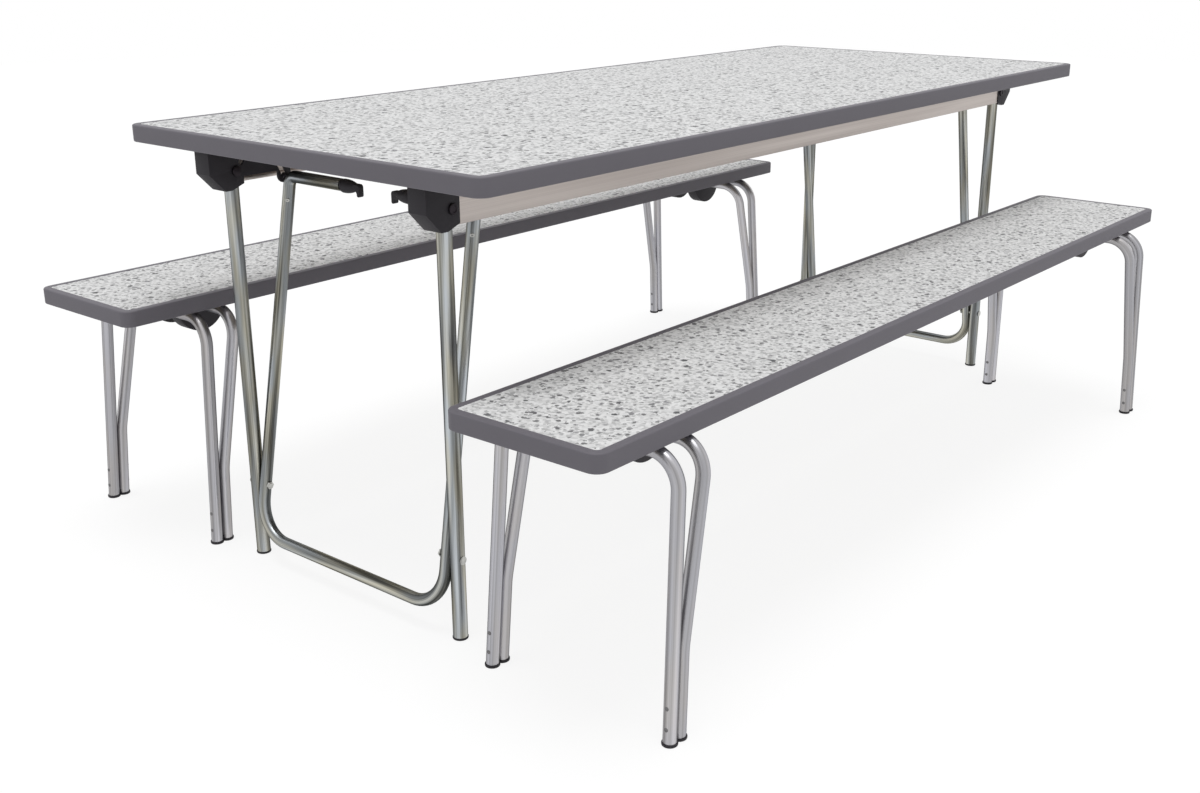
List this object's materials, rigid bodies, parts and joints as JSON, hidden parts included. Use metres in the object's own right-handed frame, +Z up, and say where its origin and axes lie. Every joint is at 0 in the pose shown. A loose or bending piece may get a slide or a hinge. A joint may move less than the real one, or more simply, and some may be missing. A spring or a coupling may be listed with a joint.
{
  "type": "folding cafeteria table with benches",
  "caption": "Rectangular folding dining table on tube legs with braced stays and spring latches, flanked by loose benches on folding V frames.",
  "frame": {"origin": "on the floor under the middle of the box round the table and both benches", "axes": "+X along the length of the table towards its far end, +Y towards the left bench, +Z up"},
  "size_m": [1.885, 1.285, 0.698],
  "materials": {
    "laminate": "speckled light grey laminate, satin",
    "core": "pressed particle board with a plain backer below",
    "edge_band": "moulded grey edge band, satin",
    "rail": "satin extruded aluminium",
    "table_tube": "zinc plated steel tube",
    "bench_tube": "bright plated steel tube",
    "black_moulding": "black moulded plastic, fine texture",
    "fastener": "zinc plated steel"
  },
  "bodies": {
    "table": {"table_core": "core", "table_laminate": "laminate", "table_edge": "edge_band", "rail_left": "rail", "rail_right": "rail", "bracket_near_left": "black_moulding", "leg_pin_near_left": "fastener", "bracket_near_right": "black_moulding", "leg_pin_near_right": "fastener", "bracket_far_left": "black_moulding", "leg_pin_far_left": "fastener", "bracket_far_right": "black_moulding", "leg_pin_far_right": "fastener"},
    "legs_near": {"leg_near_left": "table_tube", "leg_foot_near_left": "black_moulding", "stay_bolt_near_left": "fastener", "leg_near_right": "table_tube", "leg_foot_near_right": "black_moulding", "stay_bolt_near_right": "fastener"},
    "stay_near_body": {"stay_near": "table_tube"},
    "latch_near_left_body": {"latch_near_left": "black_moulding"},
    "latch_near_right_body": {"latch_near_right": "black_moulding"},
    "legs_far": {"leg_far_left": "table_tube", "leg_foot_far_left": "black_moulding", "stay_bolt_far_left": "fastener", "leg_far_right": "table_tube", "leg_foot_far_right": "black_moulding", "stay_bolt_far_right": "fastener"},
    "stay_far_body": {"stay_far": "table_tube"},
    "latch_far_left_body": {"latch_far_left": "black_moulding"},
    "latch_far_right_body": {"latch_far_right": "black_moulding"},
    "bench_left": {"bench_left_core": "core", "bench_left_laminate": "laminate", "bench_left_edge": "edge_band", "bench_left_hinge_near": "black_moulding", "bench_left_hinge_far": "black_moulding"},
    "bench_left_legs_near": {"bench_left_outer_frame_near": "bench_tube", "bench_left_inner_frame_near": "bench_tube", "bench_left_foot_near_left": "black_moulding", "bench_left_foot_near_right": "black_moulding"},
    "bench_left_legs_far": {"bench_left_outer_frame_far": "bench_tube", "bench_left_inner_frame_far": "bench_tube", "bench_left_foot_far_left": "black_moulding", "bench_left_foot_far_right": "black_moulding"},
    "bench_right": {"bench_right_core": "core", "bench_right_laminate": "laminate", "bench_right_edge": "edge_band", "bench_right_hinge_near": "black_moulding", "bench_right_hinge_far": "black_moulding"},
    "bench_right_legs_near": {"bench_right_outer_frame_near": "bench_tube", "bench_right_inner_frame_near": "bench_tube", "bench_right_foot_near_left": "black_moulding", "bench_right_foot_near_right": "black_moulding"},
    "bench_right_legs_far": {"bench_right_outer_frame_far": "bench_tube", "bench_right_inner_frame_far": "bench_tube", "bench_right_foot_far_left": "black_moulding", "bench_right_foot_far_right": "black_moulding"}
  },
  "joints": [
    {"name": "legs_near_fold", "type": "hinge", "parent": "table", "child": "legs_near", "pos_m": [-0.8125, 0, 0.634], "axis": [0, -1, 0], "range_deg": [0, 90]},
    {"name": "stay_near_turn", "type": "hinge", "parent": "legs_near", "child": "stay_near_body", "pos_m": [-0.8125, 0, 0.127], "axis": [0, -1, 0], "range_deg": [0, 8.8]},
    {"name": "latch_near_left_pull", "type": "slide", "parent": "stay_near_body", "child": "latch_near_left_body", "axis": [0, -1, 0], "range_m": [0, 0.006], "stiffness_N_per_m": 600, "springref_m": -0.004},
    {"name": "latch_near_right_pull", "type": "slide", "parent": "stay_near_body", "child": "latch_near_right_body", "axis": [0, 1, 0], "range_m": [0, 0.006], "stiffness_N_per_m": 600, "springref_m": -0.004},
    {"name": "legs_far_fold", "type": "hinge", "parent": "table", "child": "legs_far", "pos_m": [0.8675, 0, 0.634], "axis": [0, 1, 0], "range_deg": [0, 90]},
    {"name": "stay_far_turn", "type": "hinge", "parent": "legs_far", "child": "stay_far_body", "pos_m": [0.8675, 0, 0.127], "axis": [0, 1, 0], "range_deg": [0, 8.8]},
    {"name": "latch_far_left_pull", "type": "slide", "parent": "stay_far_body", "child": "latch_far_left_body", "axis": [0, -1, 0], "range_m": [0, 0.006], "stiffness_N_per_m": 600, "springref_m": -0.004},
    {"name": "latch_far_right_pull", "type": "slide", "parent": "stay_far_body", "child": "latch_far_right_body", "axis": [0, 1, 0], "range_m": [0, 0.006], "stiffness_N_per_m": 600, "springref_m": -0.004},
    {"name": "bench_left_shift", "type": "slide", "parent": "table", "child": "bench_left", "axis": [0, 1, 0], "range_m": [-0.05, 0.3]},
    {"name": "bench_left_legs_near_fold", "type": "hinge", "parent": "bench_left", "child": "bench_left_legs_near", "pos_m": [-0.7575, 0.476, 0.3801], "axis": [0, -1, 0], "range_deg": [0, 90]},
    {"name": "bench_left_legs_far_fold", "type": "hinge", "parent": "bench_left", "child": "bench_left_legs_far", "pos_m": [0.7025, 0.476, 0.3801], "axis": [0, 1, 0], "range_deg": [0, 90]},
    {"name": "bench_right_shift", "type": "slide", "parent": "table", "child": "bench_right", "axis": [0, -1, 0], "range_m": [-0.05, 0.3]},
    {"name": "bench_right_legs_near_fold", "type": "hinge", "parent": "bench_right", "child": "bench_right_legs_near", "pos_m": [-0.7575, -0.476, 0.3801], "axis": [0, -1, 0], "range_deg": [0, 90]},
    {"name": "bench_right_legs_far_fold", "type": "hinge", "parent": "bench_right", "child": "bench_right_legs_far", "pos_m": [0.7025, -0.476, 0.3801], "axis": [0, 1, 0], "range_deg": [0, 90]}
  ],
  "couplings": [
    {"joint": "stay_near_turn", "follows": "legs_near_fold", "ratio": 0.097778},
    {"joint": "stay_far_turn", "follows": "legs_far_fold", "ratio": 0.097778}
  ]
}
